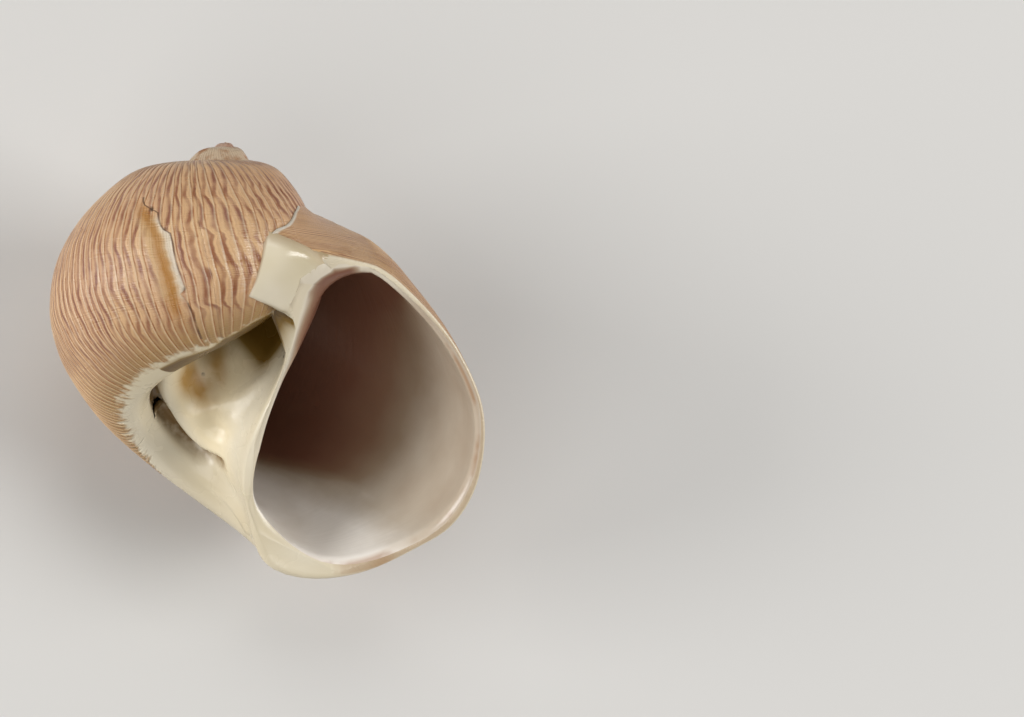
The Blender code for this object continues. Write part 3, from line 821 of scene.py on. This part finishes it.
break_line = put(blend, [put(ease, [from_scar, -0.5, 0.5])],
                 stops=[(0.38, 0.0), (0.47, 0.9), (0.55, 0.9), (0.64, 0.0)])
break_line = put(maths, [break_line, put(ease, [patches, 0.38, 0.52, 0.15, 1.0])], **times)
coats.append((break_line, tint("#5a3a20")))
coats.append((put(ease, [pitted, 0.25, 0.7, 0.0, 0.9]), tint("#4a3018")))

# The first whorls are cream, flecked with orange-brown, and pinkish at the tip
young = put(ease, [turn, -1.16, -1.02, 1.0, 0.0], **smooth)
early = put(mix, {0: put(ease, [flecks, 0.48, 0.62]), 6: tint("#cdb596"), 7: tint("#a87345")}, **rgba)
early = put(mix, {0: put(ease, [turn, -2.2, -1.9, 0.6, 0.0]), 6: early, 7: tint("#c99a86")}, **rgba)
early = put(mix, {0: line, 6: early, 7: tint("#8d6440")}, **rgba)
coats.append((young, early))

# The torn left edge of the lap
tear = put(maths, [put(maths, [patches, 0.9, -0.45], operation="MULTIPLY_ADD"), torn], operation="ADD")
coats.append((put(ease, [tear, 0.18, 0.42, 0.9, 0.0]), tint("#ded5c2")))

# The lip's own edge: cream, stained orange-brown in places, with a thin brown line inside it
lip_edge = put(ease, [turn, 0.0002, 0.0022])
stain = put(maths, [put(ease, [clouds, 0.52, 0.64, 0.0, 0.75]),
                    put(ease, [length, 56.0, 50.0])], **times)
edge_colour = put(mix, {0: stain, 6: tint("#d6c9ae"), 7: tint("#a8763f")}, **rgba)
outer_lip = put(maths, [put(ease, [length, 14.0, 19.0]), put(ease, [length, 54.0, 50.0])], **times)
brown_line = put(maths, [outer_lip, put(ease, [turn, 0.0055, 0.0085, 0.0, 0.45])], **times)
edge_colour = put(mix, {0: brown_line, 6: edge_colour, 7: tint("#8d6236")}, **rgba)
coats.append((lip_edge, edge_colour))

# The smooth base: white enamel that laps over the ends of the stripes in folds
edge_here = put(maths, [fold, 2.6, -1.3], operation="MULTIPLY_ADD")
edge_here = put(maths, [past_edge, edge_here], operation="ADD")
enamel = put(ease, [edge_here, -0.5, 0.45], **smooth)
cream = put(mix, {0: put(ease, [clouds, 0.35, 0.65]), 6: tint("#d9cfb8"), 7: tint("#cfc1a2")}, **rgba)
coats.append((enamel, cream))
# the smooth rib beside the mouth in a warmer, lighter ivory: partly its own colour, partly painted
# light where the whorl in front shades it
rib_ivory_and_light = put(maths, [put(ease, [length, 62.5, 65.0]), put(ease, [turn, -0.05, -0.16])], **times)
rib_ivory_and_light = put(maths, [rib_ivory_and_light, enamel], **times)
coats.append((rib_ivory_and_light, tint("#ecdcb8")))
tan = put(maths, [stained, put(ease, [cloudy, 0.35, 0.65, 0.55, 1.15])], **times)
coats.append((tan, tint("#b48b4a")))
# dirt and painted shade, from tan to dark brown as the mask grows
dirt_and_shade_colour = put(blend, [grime],
           stops=[(0.0, tint("#ad9260")), (0.5, tint("#856830")), (1.0, tint("#604516"))])
coats.append((put(ease, [grime, 0.0, 0.6]), dirt_and_shade_colour))
grit = put(maths, [grit, put(ease, [flecks, 0.3, 0.55, 0.45, 1.0])], **times)
coats.append((grit, tint("#7c6036")))
specks = put("ShaderNodeTexVoronoi", {"Vector": spot, "Scale": 420.0})
specks = put(maths, [put(ease, [specks, 0.07, 0.11, 1.0, 0.0]), enamel], **times)
specks = put(maths, [specks, put(ease, [length, 60.0, 63.0])], **times)
specks = put(maths, [specks, put(ease, [patches, 0.5, 0.56])], **times)
coats.append((specks, tint("#3b2a18")))

# Fine spiral scratches and growth lines, a quarter of a millimetre apart, that break up the gloss
relief = put(maths, [threads, hairs], operation="ADD")
relief = put(maths, [relief, put(ease, [enamel, 0.0, 1.0, 1.0, 0.15])], **times)
bump = put("ShaderNodeBump", {"Strength": 0.8, "Distance": 0.00006, "Height": relief})
rough = put(ease, [patches, 0.3, 0.7, 0.27, 0.40])
rough = put(maths, [rough, put(ease, [enamel, 0.0, 1.0, 0.0, -0.06])], operation="ADD")
for share, coat in coats:
    colour = put(mix, {0: share, 6: colour, 7: coat}, **rgba)
surface = put("ShaderNodeBsdfPrincipled",
              {"Base Color": colour, "Roughness": rough, "Normal": bump, "IOR": 1.55})
tree.links.new(surface, tree.nodes.new("ShaderNodeOutputMaterial").inputs[0])

# Glossy callus: thick ivory enamel, smooth as glazed china, with a rusty line where it meets the ribs.
tree = blank_tree(callus_finish)
put = partial(add, tree)
across_node = put("ShaderNodeSeparateXYZ", [put("ShaderNodeUVMap", uv_map="growth")]).node
down_node = put("ShaderNodeSeparateXYZ", [put("ShaderNodeUVMap", uv_map="age")]).node
spot = put("ShaderNodeTexCoord", out=3)
clouds = put(noise, {"Vector": spot, "Scale": 150.0, "Detail": 2.0})
ivory = put(mix, {0: put(ease, [clouds, 0.35, 0.65]), 6: tint("#ddd2ba"), 7: tint("#d2c5a6")}, **rgba)
trough = put(blend, [put(ease, [down_node.outputs[0], 0.0, 1.6])],
             stops=[(0.0, 0.75), (0.35, 0.45), (1.0, 0.0)])
ivory = put(mix, {0: trough, 6: ivory, 7: tint("#a98e66")}, **rgba)
rust = put(blend, [put(ease, [across_node.outputs[0], 0.0, 0.5])],
           stops=[(0.0, 0.85), (0.25, 0.6), (0.6, 0.0)])
rust = put(maths, [rust, put(ease, [clouds, 0.35, 0.55, 0.4, 1.0])], **times)
ivory = put(mix, {0: rust, 6: ivory, 7: tint("#96683a")}, **rgba)
surface = put("ShaderNodeBsdfPrincipled", {"Base Color": ivory, "Roughness": 0.2, "IOR": 1.55})
tree.links.new(surface, tree.nodes.new("ShaderNodeOutputMaterial").inputs[0])

# Glazed throat: the snail's own smooth lining, ivory at the lip and chocolate brown deep inside, the
# brown partly painted shade.
tree = blank_tree(throat_finish)
put = partial(add, tree)
turn = put("ShaderNodeSeparateXYZ", [put("ShaderNodeUVMap", uv_map="age")])
length = put("ShaderNodeSeparateXYZ", [put("ShaderNodeUVMap", uv_map="growth")], out=1)
deep = put("ShaderNodeAttribute", attribute_name="deep", out=2)
spot = put("ShaderNodeTexCoord", out=3)
clouds = put(noise, {"Vector": spot, "Scale": 180.0, "Detail": 3.0})
deep = put(maths, [put(ease, [clouds, 0.3, 0.7, -0.06, 0.06]), deep], operation="ADD")
# near-white at the lip, brightened as painted light, to brown deep inside, darkened as painted shade
colour = put(blend, [deep],
             stops=[(0.0, tint("#f0eae0")), (0.18, tint("#c9bca9")), (0.42, tint("#a8927a")),
                    (0.7, tint("#8d6c55")), (1.0, tint("#7d5441"))])
inner_lip = put(maths, [put(ease, [length, 54.0, 58.0]), put(ease, [length, 11.0, 6.0])],
                operation="MAXIMUM")
inner_lip = put(maths, [inner_lip, put(ease, [deep, 0.0, 0.25, 1.0, 0.0])], **times)
colour = put(mix, {0: inner_lip, 6: colour, 7: tint("#d9cdb3")}, **rgba)
lip_line = put(blend, [put(ease, [turn, -0.004, 0.006])],
               stops=[(0.44, 0.0), (0.55, 0.6), (0.62, 0.6), (0.72, 0.0)])
patchy = put(ease, [put(noise, {"Vector": spot, "Scale": 320.0, "Detail": 2.0}), 0.42, 0.55, 0.15, 1.0])
outer_lip = put(ease, [length, 10.0, 14.0])
lip_line = put(maths, [lip_line, patchy], **times)
lip_line = put(maths, [lip_line, outer_lip], **times)
lip_line = put(maths, [lip_line, put(ease, [length, 52.0, 48.0])], **times)
colour = put(mix, {0: lip_line, 6: colour, 7: tint("#9a6a3c")}, **rgba)
lines_in = put("ShaderNodeCombineXYZ",
               [put(maths, [turn, 260.0], **times), put(maths, [length, 0.15], **times)])
lines_in = put(noise, {"Vector": lines_in, "Scale": 1.0, "Detail": 2.0}, noise_dimensions="2D")
bump = put("ShaderNodeBump", {"Strength": 0.35, "Distance": 0.00006, "Height": lines_in})
surface = put("ShaderNodeBsdfPrincipled",
              {"Base Color": colour, "Roughness": 0.28, "Normal": bump, "IOR": 1.55})
tree.links.new(surface, tree.nodes.new("ShaderNodeOutputMaterial").inputs[0])

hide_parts("moon_snail_shell")
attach(shell, "root")


# The studio.  A pale floor, soft lights, and a camera that looks down on the mouth as the photo does.
bpy.ops.mesh.primitive_plane_add(size=3, location=(0, 0, 0))
floor = bpy.context.object
floor.name = "floor"
floor_finish = bpy.data.materials.new("pale_paper")
floor_finish.use_nodes = True
floor_finish.node_tree.nodes["Principled BSDF"].inputs["Base Color"].default_value = tint("#cfcdc9")
floor_finish.node_tree.nodes["Principled BSDF"].inputs["Roughness"].default_value = 0.9
floor.data.materials.append(floor_finish)

BETA, GAMMA = radians(3.85), radians(0.55)
stand = Matrix(((cos(BETA), 0, sin(BETA)),
                (-sin(BETA) * cos(GAMMA), -sin(GAMMA), cos(BETA) * cos(GAMMA)),
                (sin(BETA) * sin(GAMMA), -cos(GAMMA), -cos(BETA) * sin(GAMMA))))
MM_PER_PIXEL, AWAY = 0.0868, 236.0
facing = lie.to_3x3() @ stand.transposed()
aim = Vector(APEX_PLACE) + facing @ Vector(((267 - 218.8) * MM_PER_PIXEL, (143.1 - 360) * MM_PER_PIXEL,
                                            0))
eye = aim + facing @ Vector((0, 0, AWAY))
bpy.context.scene.view_settings.view_transform = "Standard"
camera_data = bpy.data.cameras.new("camera")
camera_data.sensor_width = 36
camera_data.lens = 36 * AWAY / MM_PER_PIXEL / 1.002 / 1024
camera_data.clip_start = 0.01
camera = bpy.data.objects.new("camera", camera_data)
bpy.context.scene.collection.objects.link(camera)
placed = (facing.to_4x4() @ Matrix.Rotation(radians(0.7), 4, "Z")
          @ Matrix.Rotation(-atan(240.2 * MM_PER_PIXEL / AWAY), 4, "Y")
          @ Matrix.Rotation(atan(3.5 * MM_PER_PIXEL / AWAY), 4, "X"))
placed.translation = eye * 0.001
camera.matrix_world = placed
bpy.context.scene.camera = camera

right_of, up_of, toward = facing.col[0], facing.col[1], facing.col[2]
middle = Vector((0, 0, 12))
for name, (right_share, up_share, toward_share), size, power in (
        ("left_softbox", (-0.866, 0.10, 0.50), 0.30, 2.6), ("right_softbox", (0.90, 0.06, 0.45),
        0.30, 2.4), ("top_softbox", (0.15, 0.75, 0.65), 0.40, 0.9), ("low_softbox",
                                                                     (-0.34, -0.36, 0.87), 0.36, 1.0)):
    direction = (right_of * right_share + up_of * up_share + toward * toward_share).normalized()
    light = bpy.data.lights.new(name, "AREA")
    light.size = size
    light.energy = power
    lamp = bpy.data.objects.new(name, light)
    lamp.location = (middle + direction * 600) * 0.001
    lamp.rotation_euler = (-direction).to_track_quat("-Z", "Y").to_euler()
    bpy.context.scene.collection.objects.link(lamp)
world = bpy.data.worlds.new("room")
bpy.context.scene.world = world
world.use_nodes = True
world.node_tree.nodes["Background"].inputs["Color"].default_value = (0.13, 0.13, 0.134, 1)
